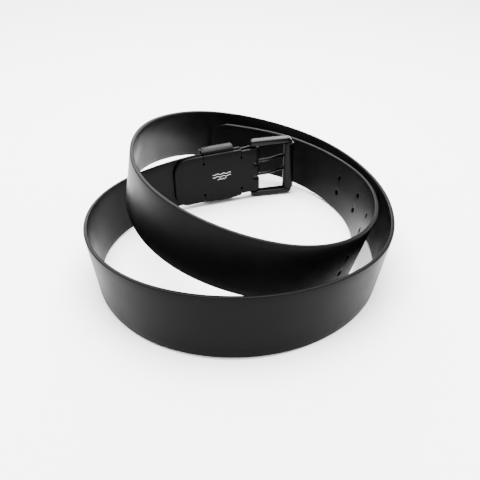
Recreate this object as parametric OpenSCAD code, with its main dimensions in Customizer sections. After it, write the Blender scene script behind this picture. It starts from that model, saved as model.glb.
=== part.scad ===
// Dive weight belt: a moulded rubber strap with a two-prong roller buckle,
// lying coiled twice on the floor. Millimetres, +Z up, the floor at z = 0,
// the origin on the floor under the middle of the coil.

/* [Strap] */
// Width of the strap
strap_w = 50; // [48:0.5:51]
// Thickness of the strap
strap_t = 3.2; // [2.8:0.1:3.4]
// Radius of the corners of the strap's tip
tip_r = 16; // [8:1:24]
// Rings that the strap is swept through, for each station of its route
rings_per_station = 7; // [5:1:9]

/* [Adjustment holes] */
// Diameter of each adjustment hole
hole_d = 5; // [4:0.5:6]
// Distance between the two rows of holes, and between the two prongs
row_gap = 15; // [14:0.5:16]
// Number of pairs of holes
hole_pairs = 5; // [1:1:5]

/* [Folded end] */
// Length of the flap, from the heel bar to its rounded end
flap_l = 84; // [80:1:86]
// Radius of the flap's corners
flap_corner_r = 14; // [8:1:20]
// Length of the keeper's pocket between the relief slits
pocket_l = 39; // [36:1:42]
// Width of the narrow neck, between the near slits and the heel bar
neck_w = 47; // [46:0.5:48]
// Diameter of the relief hole at the end of each slit
relief_d = 2.4; // [2:0.2:3]

/* [Keeper] */
// Width of the keeper along the strap
keeper_w = 32; // [28:1:33]
// Thickness of the keeper's wall
keeper_t = 2; // [1.8:0.1:2.1]
// Room in the keeper behind the strap, for the tail
tail_room = 5.4; // [5:0.2:6.4]

/* [Buckle] */
// Length from the heel bar to the roller
buckle_l = 36; // [34:1:38]
// Height of each rail of the frame
rail_h = 5.5; // [5:0.5:6.5]
// Depth of the frame, through the buckle
frame_depth = 8.5; // [7.5:0.5:9]
// Diameter of the heel bar
heel_bar_d = 5; // [4.8:0.1:5.2]
// Diameter of the roller
roller_d = 11; // [10:0.5:11]
// Diameter of each prong
prong_d = 3.4; // [3:0.1:3.6]

/* [Hidden] */
$fn = 48;

rubber_colour = [0.07, 0.07, 0.08];
keeper_colour = [0.12, 0.12, 0.13];
metal_colour = [0.2, 0.2, 0.22];
roller_colour = [0.3, 0.3, 0.32];

// Route of the middle of the strap: x, y, height, and lean outwards in degrees.
// The strap follows a smooth B-spline drawn by these stations.
stations = [
    // The tip and the inner turn, standing inside the outer one
    [-30, 133, 40, -6], [53, 125, 31, -6], [104, 59, 25, 6], [115, -2, 25, 19],
    // The inner turn climbs over the front to the left
    [94, -85, 33, 16], [38, -132, 46, 7], [-39, -118, 64, -5], [-87, -64, 76, -4],
    // Highest on the left, where it lies across the end that holds the buckle
    [-96, 13, 81, -14], [-74, 75, 72, -18], [-35, 146, 49, -16], [34, 162, 28, 24],
    // The outer turn, standing on the floor from the back right round to the left
    [88, 113, 25, 13], [117, 45, 25, 12], [126, -26, 26, 9], [109, -97, 25, 12],
    [61, -142, 25, 1], [2, -162, 27, -5], [-61, -149, 26, -1], [-109, -103, 25, 8],
    [-128, -37, 25, 8], [-109, 24, 27, 0],
    // Under the raised turn and straight on to the heel bar
    [-51, 66, 30, -2], [-19, 78, 31, -2], [13, 90, 32, -2]
];
last = len(stations) - 1;

// Middle of the coil's box over the floor, and its lowest point
coil_middle = [0.88, -0.17, 0.04, 0];

// Station and direction at any place along the route
function station(i) =
    i < 0 ? 2 * stations[0] - stations[1] :
    i > last ? 2 * stations[last] - stations[last - 1] : stations[i];
function weighed(i, w) =
    w[0] * station(i - 1) + w[1] * station(i) + w[2] * station(i + 1) + w[3] * station(i + 2);
function span_of(u) = min(floor(u), last - 1);
function place(u) =
    let (i = span_of(u), t = u - i)
    weighed(i, [pow(1 - t, 3), 3*t*t*t - 6*t*t + 4, -3*t*t*t + 3*t*t + 3*t + 1, t*t*t] / 6)
        - coil_middle;
function travel(u) =
    let (i = span_of(u), t = u - i)
    weighed(i, [-pow(1 - t, 2), 3*t*t - 4*t, -3*t*t + 2*t + 1, t*t] / 2);
function unit(v) = v / norm(v);
function point(v) = [v[0], v[1], v[2]];

// Axes of the strap at u: along it, outwards through it, and up across its width
function along(u) = unit(point(travel(u)));
function upright(u) = let (a = along(u)) unit([0, 0, 1] - a * a[2]);
function outwards(u) =
    let (up = upright(u), out = cross(up, along(u)), lean = place(u)[3])
    out * cos(lean) - up * sin(lean);
function widthways(u) = cross(along(u), outwards(u));

// Puts its children at u on the route: x along the strap, y outwards, z across it
module at_route(u) {
    a = along(u);
    o = outwards(u);
    w = widthways(u);
    p = place(u);
    multmatrix([
        [a[0], o[0], w[0], p[0]],
        [a[1], o[1], w[1], p[1]],
        [a[2], o[2], w[2], p[2]]
    ]) children();
}

// Folded end, in the frame of the heel bar: x along the strap, y outwards, z across
fit_gap = 0.05;
face_gap = 0.3;
heel_r = heel_bar_d / 2;
fold_r = heel_r + fit_gap;
fold_out_r = fold_r + strap_t;
bend_room = 0.6;
layer_gap = keeper_t + 2 * face_gap + bend_room;
flap_y = -fold_out_r;
flap_inner_y = flap_y + strap_t;
main_y = flap_inner_y + layer_gap;
main_out_y = main_y + strap_t;
half_w = strap_w / 2;

// The neck, and inside it the end of the sweep and the start of the parting
neck_l = 15;
sweep_l = neck_l - 0.8;
part_l = neck_l + 3;
fold_proud = 0.1;

// The keeper's pocket, and the slits at its two ends
pocket_end = -neck_l;
pocket_start = pocket_end - pocket_l;
slit_l = 8;
slit_w = 0.6;

// Slots for the prongs through the fold
prong_z = row_gap / 2;
slot_w = prong_d + 2.6;
slot_back = 2.5;
eye_room = 0.4;

// Bonds between the flap and the strap
bond_overlap = 1;
bond_inset = 3;
bond_l = 6;

// Keeper: an oblong loop, with round bends, that the strap runs through
keeper_play = 1.8;
keeper_bend_r = 4.8;
keeper_h = strap_w + 2 * (keeper_play + keeper_t);
keeper_depth = 2 * keeper_t + 2 * face_gap + bend_room + strap_t + tail_room;
keeper_y = flap_inner_y + face_gap;
keeper_x = pocket_start + 0.5;

// Frame, turned inwards about the heel bar
frame_turn = -9;
inner_h = strap_w + 1;
frame_h = inner_h + 2 * rail_h;
rail_back = 4;
end_bar_r = 3;
frame_round = 1.6;
heel_seat = 3.5;

// Roller and prongs
roller_gap = 0.4;
rim_round = 0.8;
prong_r = prong_d / 2;
eye_wall = 2;
eye_h = prong_d + 1.4;
knuckle = 0.03;
touch_gap = 0.3;
prong_rise = roller_d / 2 + touch_gap + prong_r;
prong_path = [
    [heel_r + 1, 0.6],
    [16, 1.2],
    [buckle_l - 7, prong_rise],
    [buckle_l + 5, prong_rise + 0.2]
];

// Sweep of the strap. Its rings stand close together round the tip's corners.
straight_step = norm(point(stations[last] - stations[last - 1]));
tip_step = norm(point(stations[1] - stations[0]));
sweep_end = last - sweep_l / straight_step;
corner_end = tip_r / tip_step;
even_rings = ceil((sweep_end - corner_end) * rings_per_station);
ring_places = [
    for (turn = [0 : 15 : 75]) corner_end * (1 - cos(turn)),
    for (k = [0 : even_rings]) corner_end + (sweep_end - corner_end) * k / even_rings
];

// Place of each pair of adjustment holes along the stations
pair_places = [2, 2.56, 3.15, 3.72, 4.28];

module at_heel() {
    at_route(last) translate([0, -(main_y + strap_t / 2), 0]) children();
}

module at_frame() {
    at_heel() rotate([0, 0, frame_turn]) children();
}

// Draws its children at the strap's upper side and mirrors them to the lower one
module both_sides() {
    children();
    mirror([0, 0, 1]) children();
}

// Extrudes an outline drawn in x and z through y, from y0 to y1
module through_y(y0, y1) {
    translate([0, y1, 0]) rotate([90, 0, 0]) linear_extrude(y1 - y0) children();
}

module rounded_rectangle(w, h, r) {
    square([w - 2 * r, h], center = true);
    square([w, h - 2 * r], center = true);
    for (x = [-1, 1]) for (y = [-1, 1])
        translate([x * (w / 2 - r), y * (h / 2 - r)]) circle(r);
}

// The strap: its long sweep, the fold round the heel bar, and the flap bonded to it
function half_width(u) =
    let (rest = max(tip_r - u * tip_step, 0))
    half_w - tip_r + sqrt(tip_r * tip_r - rest * rest);
function ring(u) =
    let (p = point(place(u)), o = outwards(u) * strap_t / 2, w = widthways(u) * half_width(u))
    [p - o - w, p + o - w, p + o + w, p - o + w];

module swept_strap() {
    ring_total = len(ring_places) - 1;
    points = [for (u = ring_places) each ring(u)];
    sides = [
        for (k = [0 : ring_total - 1]) for (j = [0 : 3])
        let (a = 4 * k + j, b = 4 * k + (j + 1) % 4)
        each [[a, a + 4, b], [b, a + 4, b + 4]]
    ];
    end = 4 * ring_total;
    caps = [[0, 1, 2, 3], [end + 3, end + 2, end + 1, end]];
    polyhedron(points = points, faces = concat(sides, caps));
}

module adjustment_holes() {
    for (k = [0 : hole_pairs - 1]) for (side = [-1, 1])
        at_route(pair_places[k])
            translate([0, 0, side * row_gap / 2])
            rotate([90, 0, 0]) cylinder(h = 3 * strap_t, d = hole_d, center = true);
}

module flap() {
    through_y(flap_y, flap_inner_y) {
        translate([-flap_l + flap_corner_r, -half_w])
            square([flap_l - flap_corner_r - neck_l, strap_w]);
        translate([-flap_l, -half_w + flap_corner_r])
            square([flap_l - neck_l, strap_w - 2 * flap_corner_r]);
        translate([-neck_l - 1, -neck_w / 2]) square([neck_l + 1, neck_w]);
        for (side = [-1, 1])
            translate([-flap_l + flap_corner_r, side * (half_w - flap_corner_r)])
            circle(flap_corner_r);
    }
}

// Half a turn round the heel bar, and the layer that leads back to the swept strap
module fold() {
    rotate([0, 0, -90]) rotate_extrude(angle = 180)
        translate([fold_r, -neck_w / 2]) square([strap_t, neck_w]);
    linear_extrude(neck_w, center = true)
        polygon([
            [0, fold_r], [0, fold_out_r],
            [-part_l, main_out_y + fold_proud], [-part_l, main_y - fold_proud]
        ]);
}

module bonds() {
    near = -neck_l + 1 + bond_l;
    linear_extrude(strap_w - 2 * bond_inset, center = true)
        polygon([
            [near - bond_l, flap_inner_y - bond_overlap], [near, flap_inner_y - bond_overlap],
            [near, main_out_y], [near - bond_l, main_y + bond_overlap]
        ]);
    far = pocket_start - 1;
    linear_extrude(strap_w - 2 * bond_inset, center = true)
        polygon([
            [-flap_l + 5, flap_inner_y - bond_overlap], [far, flap_inner_y - bond_overlap],
            [far, main_y + bond_overlap / 2], [-flap_l + 5, flap_inner_y + bond_overlap / 2]
        ]);
}

// Each slot opens at the heel, with a round room inside the fold for the prong's eye
module prong_slots() {
    for (side = [-1, 1]) {
        translate([-slot_back, -fold_out_r - 1, side * prong_z - slot_w / 2])
            cube([slot_back + fold_out_r + 1, 2 * fold_out_r + 2, slot_w]);
        translate([0, 0, side * prong_z])
            cylinder(h = slot_w, r = heel_r + eye_wall + eye_room, center = true);
    }
}

module relief_slits() {
    for (x = [pocket_start, pocket_end]) both_sides()
        through_y(flap_y - 1, flap_inner_y + face_gap / 2) {
            translate([x - slit_w / 2, half_w - slit_l]) square([slit_w, slit_l + 1]);
            translate([x, half_w - slit_l]) circle(d = relief_d);
        }
}

module strap() {
    color(rubber_colour) difference() {
        union() {
            swept_strap();
            at_heel() {
                fold();
                flap();
                bonds();
            }
        }
        adjustment_holes();
        at_heel() {
            prong_slots();
            relief_slits();
        }
    }
}

// The keeper: a loop of rubber, its near wall caught under the flap
module keeper() {
    color(keeper_colour) at_heel()
        translate([keeper_x, keeper_y + keeper_depth / 2, 0])
        rotate([90, 0, 90]) linear_extrude(keeper_w) difference() {
            rounded_rectangle(keeper_depth, keeper_h, keeper_bend_r);
            rounded_rectangle(
                keeper_depth - 2 * keeper_t, keeper_h - 2 * keeper_t, keeper_bend_r - keeper_t
            );
        }
}

// The frame: two rails and the bar inside the roller, in one piece
module buckle_frame() {
    right = buckle_l + end_bar_r;
    color(metal_colour) at_frame() difference() {
        union() {
            intersection() {
                through_y(-frame_depth / 2, frame_depth / 2) difference() {
                    translate([(right - rail_back) / 2, 0])
                        rounded_rectangle(right + rail_back, frame_h, rail_back);
                    translate([-rail_back - 1, -inner_h / 2])
                        square([right + rail_back + 2, inner_h]);
                }
                translate([-rail_back - 1, 0, 0]) rotate([90, 0, 90])
                    linear_extrude(right + rail_back + 2)
                    rounded_rectangle(frame_depth, frame_h, frame_round);
            }
            translate([buckle_l, 0, 0]) cylinder(h = inner_h + rail_h, r = end_bar_r, center = true);
        }
        both_sides() translate([0, 0, inner_h / 2 - 1])
             cylinder(h = heel_seat + 1, r = heel_r);
    }
}

module heel_bar() {
    color(metal_colour) at_frame()
        cylinder(h = inner_h + 2 * heel_seat, r = heel_r, center = true);
}

// One prong: an eye round the heel bar and a bent shank that rests on the roller
module prong() {
    difference() {
        union() {
            cylinder(h = eye_h, r = heel_r + eye_wall, center = true);
            for (k = [0 : len(prong_path) - 2]) {
                a = prong_path[k];
                b = prong_path[k + 1];
                d = b - a;
                translate([a[0], a[1], 0]) rotate([0, 90, atan2(d[1], d[0])])
                    cylinder(h = norm(d), r = prong_r);
                translate([b[0], b[1], 0]) sphere(prong_r + knuckle);
            }
        }
        cylinder(h = eye_h + 1, r = fold_r, center = true);
    }
}

module prong_upper() {
    color(metal_colour) at_frame() translate([0, 0, prong_z]) prong();
}

module prong_lower() {
    color(metal_colour) at_frame() translate([0, 0, -prong_z]) prong();
}

// The roller: a loose sleeve with rounded rims
module roller() {
    l = inner_h - 2 * roller_gap;
    color(roller_colour) at_frame() translate([buckle_l, 0, 0])
        rotate_extrude() difference() {
            translate([0, -l / 2]) square([roller_d / 2, l]);
            translate([0, -l / 2 - 1]) square([end_bar_r + fit_gap, l + 2]);
            for (side = [-1, 1]) translate([roller_d / 2, side * l / 2]) rotate(45)
                square(rim_round * sqrt(2), center = true);
        }
}

strap();
keeper();
buckle_frame();
heel_bar();
prong_upper();
prong_lower();
roller();
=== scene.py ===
import math

import bmesh
import bpy
import numpy as np
from mathutils import Matrix, Vector


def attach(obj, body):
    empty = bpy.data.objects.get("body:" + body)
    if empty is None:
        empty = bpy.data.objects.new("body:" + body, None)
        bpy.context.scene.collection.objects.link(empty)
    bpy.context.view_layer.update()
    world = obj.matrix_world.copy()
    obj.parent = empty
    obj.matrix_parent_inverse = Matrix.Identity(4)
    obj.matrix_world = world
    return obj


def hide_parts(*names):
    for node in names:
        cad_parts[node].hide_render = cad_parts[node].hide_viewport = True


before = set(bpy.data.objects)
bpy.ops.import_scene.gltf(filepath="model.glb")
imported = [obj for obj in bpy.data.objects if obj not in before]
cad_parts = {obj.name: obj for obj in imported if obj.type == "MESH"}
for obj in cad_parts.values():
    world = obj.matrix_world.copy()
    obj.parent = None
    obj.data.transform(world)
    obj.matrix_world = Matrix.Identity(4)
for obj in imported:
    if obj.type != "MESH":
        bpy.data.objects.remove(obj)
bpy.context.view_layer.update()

# Sizes in millimetres, as in the CAD model. Every mesh is scaled to metres when it is made.
MM = 0.001
STRAP_W, STRAP_T = 50.0, 3.2
HALF_W, HALF_T = STRAP_W / 2, STRAP_T / 2
TIP_R, FLAP_R = 16.0, 14.0
FLAP_L = 84.0
ARRIS = 0.8
HOLE_R = 2.5
ROW_Z = 7.5
PAIR_PLACES = [2, 2.56, 3.15, 3.72, 4.28]

# Route of the middle of the strap: x, y, height, and lean outwards in degrees
STATIONS = np.array([
    # The tip and the inner turn
    [-30, 133, 40, -6], [53, 125, 31, -6], [104, 59, 25, 6], [115, -2, 25, 19],
    [94, -85, 33, 16], [38, -132, 46, 7], [-39, -118, 64, -5], [-87, -64, 76, -4],
    [-96, 13, 81, -14], [-74, 75, 72, -18], [-35, 146, 49, -16], [34, 162, 28, 24],
    # The outer turn, standing on the floor
    [88, 113, 25, 13], [117, 45, 25, 12], [126, -26, 26, 9], [109, -97, 25, 12],
    [61, -142, 25, 1], [2, -162, 27, -5], [-61, -149, 26, -1], [-109, -103, 25, 8],
    [-128, -37, 25, 8], [-109, 24, 27, 0],
    # Under the raised turn and on to the heel bar
    [-51, 66, 30, -2], [-19, 78, 31, -2], [13, 90, 32, -2],
], float)
LAST = len(STATIONS) - 1
COIL_MIDDLE = np.array([0.88, -0.17, 0.04, 0])


# ---- The route -------------------------------------------------------------------------

def controls(u):
    """The four stations that steer the spline at each u, and how far u is past the second."""
    first = 2 * STATIONS[0] - STATIONS[1]
    after = 2 * STATIONS[-1] - STATIONS[-2]
    padded = np.vstack([first, STATIONS, after])
    i = np.minimum(np.floor(u).astype(int), LAST - 1)
    return padded[i], padded[i + 1], padded[i + 2], padded[i + 3], (u - i)[:, None]


def place(u):
    a, b, c, d, t = controls(u)
    mixed = (a * (1 - t) ** 3 + b * (3 * t ** 3 - 6 * t ** 2 + 4)
             + c * (-3 * t ** 3 + 3 * t ** 2 + 3 * t + 1) + d * t ** 3) / 6
    return mixed - COIL_MIDDLE


def travel(u):
    a, b, c, d, t = controls(u)
    return (-a * (1 - t) ** 2 + b * (3 * t ** 2 - 4 * t)
            + c * (-3 * t ** 2 + 2 * t + 1) + d * t ** 2) / 2


def unit(v):
    return v / np.linalg.norm(v, axis=1)[:, None]


def axes(u):
    """Place, direction, outward side and width direction of the strap at each u."""
    p = place(u)
    along = unit(travel(u)[:, :3])
    up = unit(np.array([0, 0, 1.0]) - along * along[:, 2:])
    side = np.cross(up, along)
    lean = np.radians(p[:, 3:])
    out = side * np.cos(lean) - up * np.sin(lean)
    return p[:, :3], along, out, np.cross(along, out)


FINE_U = np.linspace(0, LAST, 6001)
FINE_S = np.concatenate([[0], np.cumsum(np.linalg.norm(np.diff(place(FINE_U)[:, :3], axis=0), axis=1))])

# The folded end, in the frame of the heel bar
END = [v[0] for v in axes(np.array([float(LAST)]))]
MAIN_MID = 0.65 + HALF_T
FOLD_MID = 2.55 + HALF_T
PART_L = 15.0
HEEL = END[0] - END[2] * MAIN_MID
HEEL_AXES = np.stack([END[1], END[2], END[3]], axis=1)
FRAME_TURN = math.radians(-9)
TURN = np.array([[math.cos(FRAME_TURN), -math.sin(FRAME_TURN), 0],
                 [math.sin(FRAME_TURN), math.cos(FRAME_TURN), 0], [0, 0, 1]])
FRAME_AXES = HEEL_AXES @ TURN

# The whole strip, laid flat: s runs from the tip, round the heel bar, to the flap's end
S_PART = FINE_S[-1] - PART_L
S_HEEL = FINE_S[-1]
S_TURNED = S_HEEL + math.pi * FOLD_MID
S_END = S_TURNED + FLAP_L

# Between the near slits and the heel bar the strap is a little narrower, and behind it too
NECK_L, NECK_INSET = 15.0, 1.5
POCKET_L = 39.0
S_NECK, S_NECK_END = S_HEEL - NECK_L + 0.8, S_TURNED + NECK_L


def fold_line(s):
    """Middle of the strip near the heel bar, and its outer side, in the heel bar's x and y."""
    x, y = s - S_HEEL, np.full_like(s, MAIN_MID)
    nx, ny = np.zeros_like(s), np.ones_like(s)
    parting = np.clip((s - S_PART) / PART_L, 0, 1)
    y = y + (FOLD_MID - MAIN_MID) * parting ** 2 * (3 - 2 * parting)
    turned = np.clip((s - S_HEEL) / FOLD_MID, 0, math.pi)
    round_bar = s > S_HEEL
    x = np.where(round_bar, FOLD_MID * np.sin(turned) - np.clip(s - S_TURNED, 0, None), x)
    y = np.where(round_bar, FOLD_MID * np.cos(turned), y)
    nx = np.where(round_bar, np.sin(turned), nx)
    ny = np.where(round_bar, np.cos(turned), ny)
    return x, y, nx, ny


def bend(flat):
    """Takes points of the flat strip (s, outwards, across) to where they are on the belt."""
    s, y, z = flat[:, 0], flat[:, 1], flat[:, 2]
    p, _, out, wide = axes(np.interp(np.clip(s, 0, S_PART), FINE_S, FINE_U))
    swept = p + out * y[:, None] + wide * z[:, None]
    fx, fy, nx, ny = fold_line(s)
    local = np.stack([fx + nx * y, fy + ny * y, z], axis=1)
    folded = HEEL + local @ HEEL_AXES.T
    return np.where((s > S_PART)[:, None], folded, swept)


# ---- Mesh helpers ----------------------------------------------------------------------

def mesh_of(name, points, faces, smooth_deg=38):
    """An object from points in millimetres, smooth but for edges sharper than the angle."""
    data = bpy.data.meshes.new(name)
    data.from_pydata([tuple(p) for p in np.asarray(points) * MM], [], faces)
    obj = bpy.data.objects.new(name, data)
    bpy.context.collection.objects.link(obj)
    tidy(obj, smooth_deg)
    return obj


def tidy(obj, smooth_deg=38):
    bm = bmesh.new()
    bm.from_mesh(obj.data)
    bmesh.ops.remove_doubles(bm, verts=bm.verts, dist=1e-6)
    bmesh.ops.recalc_face_normals(bm, faces=bm.faces)
    for face in bm.faces:
        face.smooth = True
    for edge in bm.edges:
        edge.smooth = len(edge.link_faces) == 2 and edge.calc_face_angle(0) < math.radians(smooth_deg)
    bm.to_mesh(obj.data)
    bm.free()


def baked(obj):
    """Applies the object's modifiers to its mesh."""
    shown = obj.evaluated_get(bpy.context.evaluated_depsgraph_get())
    obj.data = bpy.data.meshes.new_from_object(shown)
    obj.modifiers.clear()


def cut(obj, cutter):
    """Takes the cutter's shape out of obj and removes the cutter."""
    mod = obj.modifiers.new("cut", "BOOLEAN")
    mod.operation = "DIFFERENCE"
    mod.object = cutter
    mod.solver = "EXACT"
    baked(obj)
    bpy.data.objects.remove(cutter)


def rounded_edges(obj, width, segments=3, angle_deg=30):
    mod = obj.modifiers.new("edges", "BEVEL")
    mod.width = width * MM
    mod.segments = segments
    mod.limit_method = "ANGLE"
    mod.angle_limit = math.radians(angle_deg)
    mod.harden_normals = False
    baked(obj)


def moved(obj, origin, frame_axes):
    """Puts a mesh made in a local frame into its place on the belt."""
    place_it = Matrix([[*frame_axes[i], origin[i] * MM] for i in range(3)] + [[0, 0, 0, 1]])
    obj.data.transform(place_it)
    return obj


def loft(rings, closed=True, caps=True):
    """Faces that join rings of the same number of points."""
    n = len(rings[0])
    faces = []
    for k in range(len(rings) - 1):
        for j in range(n if closed else n - 1):
            a, b = k * n + j, k * n + (j + 1) % n
            faces.append((a, b, b + n, a + n))
    if caps:
        faces.append(tuple(range(n))[::-1])
        faces.append(tuple(range((len(rings) - 1) * n, len(rings) * n)))
    return np.concatenate(rings), faces


def capsule(p, q, r, steps=10):
    """Outline of a round-ended slot from p to q, or of a circle where they are one point."""
    p, q = np.array(p, float), np.array(q, float)
    d = q - p
    heading = math.atan2(d[1], d[0]) if np.linalg.norm(d) > 0 else 0
    turns = np.linspace(-math.pi / 2, math.pi / 2, steps)
    ends = [q + r * np.array([math.cos(heading + t), math.sin(heading + t)]) for t in turns]
    back = heading + math.pi
    ends += [p + r * np.array([math.cos(back + t), math.sin(back + t)]) for t in turns]
    return np.array(ends)


def slot_cutter(slots, flare, low=-4.0, high=4.0):
    """One cutter for all the slots in the flat strip, each flared to leave rounded edges."""
    points, faces, count = [], [], 0
    bends = [(90 * k / 4) for k in range(5)]
    levels = [(low, flare * 1.1)]
    if low < -HALF_T:
        levels += [(-HALF_T - 0.02, flare * 1.1)]
        levels += [(-HALF_T + flare * (1 - math.cos(math.radians(b))),
                    flare * (1 - math.sin(math.radians(b)))) for b in bends]
    levels += [(HALF_T - flare * (1 - math.cos(math.radians(b))),
                flare * (1 - math.sin(math.radians(b)))) for b in reversed(bends)]
    levels += [(HALF_T + 0.02, flare * 1.1), (high, flare * 1.1)]
    for p, q, r in slots:
        rings = []
        for y, more in levels:
            outline = capsule(p, q, r + more)
            rings.append(np.stack([outline[:, 0], np.full(len(outline), y), outline[:, 1]], axis=1))
        pts, fcs = loft(rings)
        points.append(pts)
        faces += [tuple(i + count for i in f) for f in fcs]
        count += len(pts)
    return mesh_of("cutter", np.concatenate(points), faces)


# ---- The strap -------------------------------------------------------------------------

def strip_mesh():
    """The flat strip with rounded edges, rounded tip and rounded flap end, all in quads."""
    bends = [math.radians(90 * k / 4) for k in range(5)]
    upper = [(ARRIS * (1 - math.sin(b)), HALF_T - ARRIS * (1 - math.cos(b))) for b in bends]
    levels = upper + [(inset, -y) for inset, y in reversed(upper)]
    across = np.linspace(-1, 1, 9)
    ring = [(f, *levels[0]) for f in across] + [(1, *lv) for lv in levels[1:-1]]
    ring += [(f, *levels[-1]) for f in across[::-1]] + [(-1, *lv) for lv in levels[-2:0:-1]]
    n = len(ring)

    def corner_ring(radius, phi, far):
        out = []
        for f, inset, y in ring:
            r = radius - inset
            s = radius - r * math.cos(phi)
            out.append((S_END - s if far else s, y, f * (HALF_W - radius + r * math.sin(phi))))
        return out

    def plain_ring(s):
        half = HALF_W - (NECK_INSET if S_NECK < s < S_NECK_END else 0)
        return [(s, y, f * (half - inset)) for f, inset, y in ring]

    phis = [math.radians(90 * k / 12) for k in range(13)]
    rings = [corner_ring(TIP_R, phi, False) for phi in phis]
    hole_s = np.interp(PAIR_PLACES, FINE_U, FINE_S)
    stops = [TIP_R, S_NECK - 0.1, S_NECK + 0.1, S_HEEL, S_TURNED, S_NECK_END - 0.1, S_NECK_END + 0.1,
             S_END - FLAP_R]
    steps = [3.2, 0.2, 1.5, 0.8, 1.8, 0.2, 2.6]
    for start, stop, step in zip(stops, stops[1:], steps):
        places = np.linspace(start, stop, int(round((stop - start) / step)) + 1)[1:]
        rings += [plain_ring(s) for s in places if s < S_END - FLAP_R - 0.01]
    rings += [corner_ring(FLAP_R, phi, True) for phi in reversed(phis)]
    points, faces = loft([np.array(r) for r in rings], caps=False)
    points = [tuple(p) for p in points]
    for first, radius, far in ((0, TIP_R, False), ((len(rings) - 1) * n, FLAP_R, True)):
        grid = []
        for k, (inset, y) in enumerate(levels):
            row = []
            for j, f in enumerate(across):
                if k == 0:
                    row.append(first + j)
                elif k == len(levels) - 1:
                    row.append(first + len(across) + len(levels) - 2 + len(across) - 1 - j)
                elif j == len(across) - 1:
                    row.append(first + len(across) + k - 1)
                elif j == 0:
                    row.append(first + n - k)
                else:
                    points.append((S_END - inset if far else inset, y, f * (HALF_W - radius)))
                    row.append(len(points) - 1)
            grid.append(row)
        for k in range(len(levels) - 1):
            for j in range(len(across) - 1):
                faces.append((grid[k][j], grid[k][j + 1], grid[k + 1][j + 1], grid[k + 1][j]))
    return np.array(points), faces, hole_s


points, faces, hole_s = strip_mesh()
strap = mesh_of("strap_band", points, faces)
holes = [((s, z), (s, z), HOLE_R) for s in hole_s for z in (-ROW_Z, ROW_Z)]
SLOT_R = 3.0
prong_slots = [((S_HEEL + 0.5, z), (S_TURNED - 0.5, z), SLOT_R) for z in (-ROW_Z, ROW_Z)]
SLIT_IN, SLIT_OUT = 17.0, 27.0
SLIT_R, RELIEF_R = 0.3, 1.2
slits, reliefs = [], []
for x in (NECK_L + POCKET_L, NECK_L):
    for side in (-1, 1):
        inner, outer = (S_TURNED + x, side * SLIT_IN), (S_TURNED + x, side * SLIT_OUT)
        slits.append((inner, outer, SLIT_R))
        reliefs.append((inner, inner, RELIEF_R))
cut(strap, slot_cutter(holes, 0.5))
cut(strap, slot_cutter(prong_slots, 0.4))
cut(strap, slot_cutter(slits, 0.15))
cut(strap, slot_cutter(reliefs, 0.3))
coords = np.empty(len(strap.data.vertices) * 3)
strap.data.vertices.foreach_get("co", coords)
flat = coords.reshape(-1, 3) / MM

# The keeper's pocket bulges a little at its lower edge, and the flap's end stands off a little
past = (flat[:, 0] - S_TURNED - NECK_L) / POCKET_L
bulge = np.where((past > 0) & (past < 1), 1.6 * np.sin(np.pi * past), 0)
flat[:, 2] -= bulge * np.clip((-flat[:, 2] - 14) / 11, 0, 1)
lift = np.clip((flat[:, 0] - S_TURNED - 60) / 22, 0, 1)
flat[:, 1] += 1.2 * lift ** 2 * (3 - 2 * lift)
bent = bend(flat) * MM
strap.data.vertices.foreach_set("co", bent.ravel())
tidy(strap)


def block(name, low, high, edge, segments=3):
    """A box with rounded edges."""
    x0, y0, z0 = low
    x1, y1, z1 = high
    pts = [(x, y, z) for x in (x0, x1) for y in (y0, y1) for z in (z0, z1)]
    fcs = [(0, 1, 3, 2), (4, 6, 7, 5), (0, 4, 5, 1), (2, 3, 7, 6), (0, 2, 6, 4), (1, 5, 7, 3)]
    obj = mesh_of(name, pts, fcs)
    rounded_edges(obj, edge, segments)
    tidy(obj)
    return obj


near_bond = moved(block("flap_bond_near", (-14, -3.2, -22), (-8.2, 1.6, 22), 0.5), HEEL, HEEL_AXES)
far_bond = moved(block("flap_bond_far", (-68, -3.2, -22), (-55, 0.6, 22), 0.5), HEEL, HEEL_AXES)

# ---- Keeper ----------------------------------------------------------------------------

KEEPER_X, KEEPER_W, KEEPER_T = -53.5, 32.0, 2.0
KEEPER_Y0, KEEPER_Y1 = -2.25, 11.55
KEEPER_H, KEEPER_R = 57.6, 4.8


def oblong(w, h, r, steps=10):
    """Outline of a rectangle with round corners, in order round it."""
    out = []
    for cx, cy, start in ((1, 1, 0), (-1, 1, 90), (-1, -1, 180), (1, -1, 270)):
        for k in range(steps + 1):
            t = math.radians(start + 90 * k / steps)
            out.append((cx * (w / 2 - r) + r * math.cos(t), cy * (h / 2 - r) + r * math.sin(t)))
    return np.array(out)


def keeper_mesh():
    """The loop's wall, swept round its outline, with rounded rims."""
    edge = 0.7
    wall = []
    for cx, cy, start in ((KEEPER_W - edge, -edge, 0), (edge, -edge, 90),
                          (edge, -KEEPER_T + edge, 180), (KEEPER_W - edge, -KEEPER_T + edge, 270)):
        for k in range(5):
            t = math.radians(start + 90 * k / 4)
            wall.append((cx + edge * math.cos(t), cy + edge * math.sin(t)))
    depth = KEEPER_Y1 - KEEPER_Y0
    rings = []
    for x, offset in wall:
        outline = oblong(depth + 2 * offset, KEEPER_H + 2 * offset, KEEPER_R + offset)
        rings.append(np.column_stack([np.full(len(outline), KEEPER_X + x), outline[:, 0]
                                      + (KEEPER_Y0 + KEEPER_Y1) / 2, outline[:, 1]]))
    rings.append(rings[0])
    return loft(rings, caps=False)


keeper = moved(mesh_of("keeper_loop", *keeper_mesh()), HEEL, HEEL_AXES)

# ---- Buckle ----------------------------------------------------------------------------

BUCKLE_L = 36.0
RAIL_H, FRAME_D = 5.5, 8.5
INNER_H = STRAP_W + 1
END_BAR_R = 3.0
RAIL_BACK = 4.0
ROLLER_R = 5.5
PRONG_R = 1.7


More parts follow.
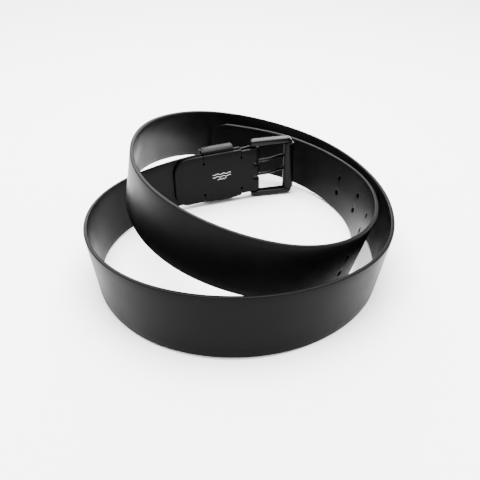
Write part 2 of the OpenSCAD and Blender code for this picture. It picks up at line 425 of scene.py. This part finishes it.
def frame_mesh():
    """A rail above and a rail below, each with rounded ends."""
    made = []
    for side in (-1, 1):
        length = BUCKLE_L + END_BAR_R + RAIL_BACK
        rings = []
        edge = 1.5
        profile = oblong(FRAME_D, RAIL_H, edge, 6)
        corner = 5.2
        steps = 10
        for k in range(steps + 1):
            t = math.radians(90 * k / steps)
            x = corner * (1 - math.cos(t))
            drop = corner * (1 - math.sin(t))
            rings.append((x - RAIL_BACK, drop))
        for k in range(1, 7):
            rings.append((corner - RAIL_BACK + (length - 2 * corner) * k / 7, 0))
        for k in range(steps + 1):
            t = math.radians(90 * k / steps)
            x = length - corner + corner * math.sin(t)
            drop = corner * (1 - math.cos(t))
            rings.append((x - RAIL_BACK, drop))
        lofted = []
        for x, drop in rings:
            h = RAIL_H - drop
            squeeze = h / RAIL_H
            ring = np.column_stack([np.full(len(profile), x), profile[:, 0] * (0.86 + 0.14 * squeeze),
                                    side * (INNER_H / 2 + h / 2 + profile[:, 1] * squeeze)])
            lofted.append(ring)
        made.append(loft(lofted))
    points, faces = made[0]
    more, more_faces = made[1]
    faces = faces + [tuple(i + len(points) for i in f) for f in more_faces]
    return np.concatenate([points, more]), faces


def lathe(profile, steps=48, closed=False):
    """Turns a profile of (radius, height) pairs round the z axis."""
    rings = []
    for k in range(steps):
        t = 2 * math.pi * k / steps
        rings.append(np.array([(r * math.cos(t), r * math.sin(t), h) for r, h in profile]))
    rings.append(rings[0])
    return loft(rings, closed=closed, caps=False)


frame_obj = mesh_of("buckle_rails", *frame_mesh())
moved(frame_obj, HEEL, FRAME_AXES)

bar_end = INNER_H / 2 + 2.4
bar_points, bar_faces = lathe([
    (0.001, -bar_end), (END_BAR_R, -bar_end), (END_BAR_R, bar_end), (0.001, bar_end)])
end_bar = mesh_of("buckle_end_bar", bar_points + np.array([BUCKLE_L, 0, 0]), bar_faces)
moved(end_bar, HEEL, FRAME_AXES)

heel_end = INNER_H / 2 + 3.4
heel_bar = mesh_of("heel_rod", *lathe([
    (0.001, -heel_end), (2.2, -heel_end), (2.5, -heel_end + 0.3),
    (2.5, heel_end - 0.3), (2.2, heel_end), (0.001, heel_end)]))
moved(heel_bar, HEEL, FRAME_AXES)


def roller_mesh():
    half = INNER_H / 2 - 0.4
    rim = 0.9
    turns = [math.radians(90 * k / 5) for k in range(6)]
    outer = [(ROLLER_R - rim * (1 - math.cos(t)), half - rim * (1 - math.sin(t))) for t in turns]
    profile = outer + [(END_BAR_R + 0.25, half), (END_BAR_R + 0.05, half - 0.2)]
    profile += [(r, -h) for r, h in reversed(profile)]
    points, faces = lathe(profile, 64, closed=True)
    return points + np.array([BUCKLE_L, 0, 0]), faces


roller = moved(mesh_of("roller_sleeve", *roller_mesh(), smooth_deg=50), HEEL, FRAME_AXES)


def prong_path():
    """Smooth line of a prong's middle, in the frame's x and y."""
    rise = ROLLER_R + 0.3 + PRONG_R
    corners = [(3.5, 0.6), (16, 1.2), (BUCKLE_L - 7, rise), (BUCKLE_L + 5, rise + 0.2)]
    line = [np.array(corners[0], float)]
    for k in (1, 2):
        before, here, after = (np.array(corners[j], float) for j in (k - 1, k, k + 1))
        reach = 3.0
        p = here + (before - here) / np.linalg.norm(before - here) * reach
        q = here + (after - here) / np.linalg.norm(after - here) * reach
        for t in np.linspace(0, 1, 7):
            line.append((1 - t) ** 2 * p + 2 * t * (1 - t) * here + t ** 2 * q)
    line.append(np.array(corners[3], float))
    return line


def tube(path, radii, steps=20):
    """A round tube through points in the x-y plane."""
    rings = []
    for k, (p, r) in enumerate(zip(path, radii)):
        before, after = path[max(k - 1, 0)], path[min(k + 1, len(path) - 1)]
        d = (after - before) / np.linalg.norm(after - before)
        side = np.array([-d[1], d[0]])
        rings.append(np.array([(*(p + side * r * math.cos(t)), r * math.sin(t))
                               for t in np.linspace(0, 2 * math.pi, steps, endpoint=False)]))
    return loft(rings)


def prong(name, z):
    """The bent shank with a round nose, joined to an eye round the heel bar."""
    path = prong_path()
    nose = path[-1]
    ahead = (path[-1] - path[-2]) / np.linalg.norm(path[-1] - path[-2])
    radii = [PRONG_R] * len(path)
    for k in range(1, 7):
        t = math.radians(15 * k)
        path.append(nose + ahead * PRONG_R * math.sin(t))
        radii.append(max(PRONG_R * math.cos(t), 0.02))
    shank = mesh_of(name, *tube(path, radii))
    half = 2.4
    edge = 0.6
    turns = [math.radians(90 * k / 3) for k in range(4)]
    outer = [(4.4 - edge * (1 - math.cos(t)), half - edge * (1 - math.sin(t))) for t in turns]
    profile = outer + [(2.6, half)]
    profile += [(r, -h) for r, h in reversed(profile)]
    eye = mesh_of(name + "_eye", *lathe(profile, 40, closed=True))
    union = shank.modifiers.new("join", "BOOLEAN")
    union.operation = "UNION"
    union.object = eye
    baked(shank)
    bpy.data.objects.remove(eye)
    shank.data.transform(Matrix.Translation((0, 0, z * MM)))
    tidy(shank)
    return moved(shank, HEEL, FRAME_AXES)


prong_upper = prong("prong_top", ROW_Z)
prong_lower = prong("prong_bottom", -ROW_Z)

# Round rooms inside the fold, for the eyes to turn in
ROOM_R, ROOM_HALF = 4.7, 2.9
for z in (-ROW_Z, ROW_Z):
    room = mesh_of("room", *lathe([
        (0.001, z - ROOM_HALF), (ROOM_R, z - ROOM_HALF), (ROOM_R, z + ROOM_HALF), (0.001, z + ROOM_HALF)]))
    cut(strap, moved(room, HEEL, HEEL_AXES))
tidy(strap)

# ---- A small generic mark on the flap: three short waves ---------------------------------

def wave_mark():
    """Three flat wavy lines, one under another, just proud of the flap's face."""
    points, faces = [], []
    face_y = -(FOLD_MID + HALF_T) - 0.04
    for row, (length, z) in enumerate(((19, 3.4), (19, 0.6), (9, -2.2))):
        xs = np.linspace(-length / 2, length / 2, 60)
        mid = z + 0.55 * np.sin(xs / length * 6 * math.pi)
        start = len(points)
        for x, m in zip(xs, mid):
            points += [(x - 36, face_y, m + 0.28), (x - 36, face_y, m - 0.28)]
        faces += [(start + 2 * k, start + 2 * k + 1, start + 2 * k + 3, start + 2 * k + 2)
                  for k in range(len(xs) - 1)]
    return np.array(points), faces


mark = moved(mesh_of("flap_mark", *wave_mark()), HEEL, HEEL_AXES)

# ---- Materials -------------------------------------------------------------------------

def material(name, colour, rough, bump, grain, specular=0.5, metallic=0.0, vary=0.06):
    """A black finish with a fine grain: colour, roughness and relief all vary a little."""
    mat = bpy.data.materials.new(name)
    mat.use_nodes = True
    nodes, links = mat.node_tree.nodes, mat.node_tree.links
    shader = nodes["Principled BSDF"]
    shader.inputs["Metallic"].default_value = metallic
    shader.inputs["Specular IOR Level"].default_value = specular
    where = nodes.new("ShaderNodeTexCoord")

    fine = nodes.new("ShaderNodeTexNoise")
    fine.inputs["Scale"].default_value = grain
    fine.inputs["Detail"].default_value = 4
    links.new(where.outputs["Object"], fine.inputs["Vector"])
    broad = nodes.new("ShaderNodeTexNoise")
    broad.inputs["Scale"].default_value = 26
    broad.inputs["Detail"].default_value = 3
    links.new(where.outputs["Object"], broad.inputs["Vector"])

    shade = nodes.new("ShaderNodeValToRGB")
    shade.color_ramp.elements[0].position = 0.35
    shade.color_ramp.elements[1].position = 0.68
    shade.color_ramp.elements[0].color = (*[c * 0.88 for c in colour], 1)
    shade.color_ramp.elements[1].color = (*[c * 1.12 for c in colour], 1)
    links.new(broad.outputs["Fac"], shade.inputs["Fac"])
    links.new(shade.outputs["Color"], shader.inputs["Base Color"])

    gloss = nodes.new("ShaderNodeMapRange")
    gloss.inputs["From Min"].default_value = 0.3
    gloss.inputs["From Max"].default_value = 0.7
    gloss.inputs["To Min"].default_value = rough - vary
    gloss.inputs["To Max"].default_value = rough + vary
    links.new(broad.outputs["Fac"], gloss.inputs["Value"])
    links.new(gloss.outputs["Result"], shader.inputs["Roughness"])

    relief = nodes.new("ShaderNodeBump")
    relief.inputs["Strength"].default_value = bump
    relief.inputs["Distance"].default_value = 0.0002
    links.new(fine.outputs["Fac"], relief.inputs["Height"])
    links.new(relief.outputs["Normal"], shader.inputs["Normal"])
    return mat


rubber = material("strap_rubber", (0.0009, 0.0009, 0.0010), 0.38, 0.25, 900, specular=0.05)
keeper_rubber = material("keeper_rubber", (0.0011, 0.0011, 0.0012), 0.36, 0.2, 900, specular=0.07)
black_metal = material("black_metal", (0.0010, 0.0010, 0.0011), 0.24, 0.08, 1400, specular=0.10)
roller_metal = material("roller_metal", (0.0010, 0.0010, 0.0011), 0.24, 0.08, 1400, specular=0.07)
mark_ink = material("mark_ink", (0.42, 0.42, 0.42), 0.6, 0.02, 900)

for obj, body, slot, mat, nodes in (
        (strap, "strap", "strap_rubber", rubber, ("strap",)),
        (near_bond, "strap", "strap_rubber", rubber, ()),
        (far_bond, "strap", "strap_rubber", rubber, ()),
        (mark, "strap", "strap_rubber", mark_ink, ()),
        (keeper, "keeper", "keeper_rubber", keeper_rubber, ("keeper",)),
        (frame_obj, "buckle", "black_metal", black_metal, ("buckle_frame",)),
        (end_bar, "buckle", "black_metal", black_metal, ()),
        (heel_bar, "buckle", "black_metal", black_metal, ("heel_bar",)),
        (prong_upper, "prong_upper", "prong_metal", black_metal, ("prong_upper",)),
        (prong_lower, "prong_lower", "prong_metal", black_metal, ("prong_lower",)),
        (roller, "roller", "roller_metal", roller_metal, ("roller",))):
    obj.data.materials.clear()
    obj.data.materials.append(mat)
    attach(obj, body)
    if nodes:
        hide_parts(*nodes)

# ---- Floor, light and camera -----------------------------------------------------------

floor_data = bpy.data.meshes.new("floor")
floor_data.from_pydata([(-6, -6, 0), (6, -6, 0), (6, 6, 0), (-6, 6, 0)], [], [(0, 1, 2, 3)])
floor = bpy.data.objects.new("floor", floor_data)
bpy.context.collection.objects.link(floor)
floor_mat = bpy.data.materials.new("floor_white")
floor_mat.use_nodes = True
floor_shader = floor_mat.node_tree.nodes["Principled BSDF"]
floor_shader.inputs["Base Color"].default_value = (0.9, 0.9, 0.91, 1)
floor_shader.inputs["Roughness"].default_value = 0.9
floor_shader.inputs["Specular IOR Level"].default_value = 0.1
floor_data.materials.append(floor_mat)

world = bpy.data.worlds.new("studio")
world.use_nodes = True
world.node_tree.nodes["Background"].inputs["Color"].default_value = (1, 1, 1, 1)
world.node_tree.nodes["Background"].inputs["Strength"].default_value = 1.9
bpy.context.scene.world = world


def softbox(name, place_m, target_m, size, power):
    light = bpy.data.lights.new(name, "AREA")
    light.shape = "RECTANGLE"
    light.size, light.size_y = size
    light.energy = power
    obj = bpy.data.objects.new(name, light)
    obj.location = place_m
    obj.rotation_euler = (Vector(target_m) - Vector(place_m)).to_track_quat("-Z", "Y").to_euler()
    bpy.context.collection.objects.link(obj)


softbox("top_light", (0, 0.1, 1.3), (0, 0, 0), (1.4, 1.4), 130)
softbox("back_light", (-0.3, 1.9, 1.25), (0, 0, 0), (2.2, 0.8), 70)

camera = bpy.data.objects.new("camera", bpy.data.cameras.new("camera"))
camera.data.sensor_width = 36
camera.data.lens = 45.6
camera.location = (-0.00088, -0.47593, 0.29176)
camera.rotation_euler = (math.radians(58.5), 0, 0)
camera.data.clip_start, camera.data.clip_end = 0.02, 50
bpy.context.collection.objects.link(camera)
bpy.context.scene.camera = camera
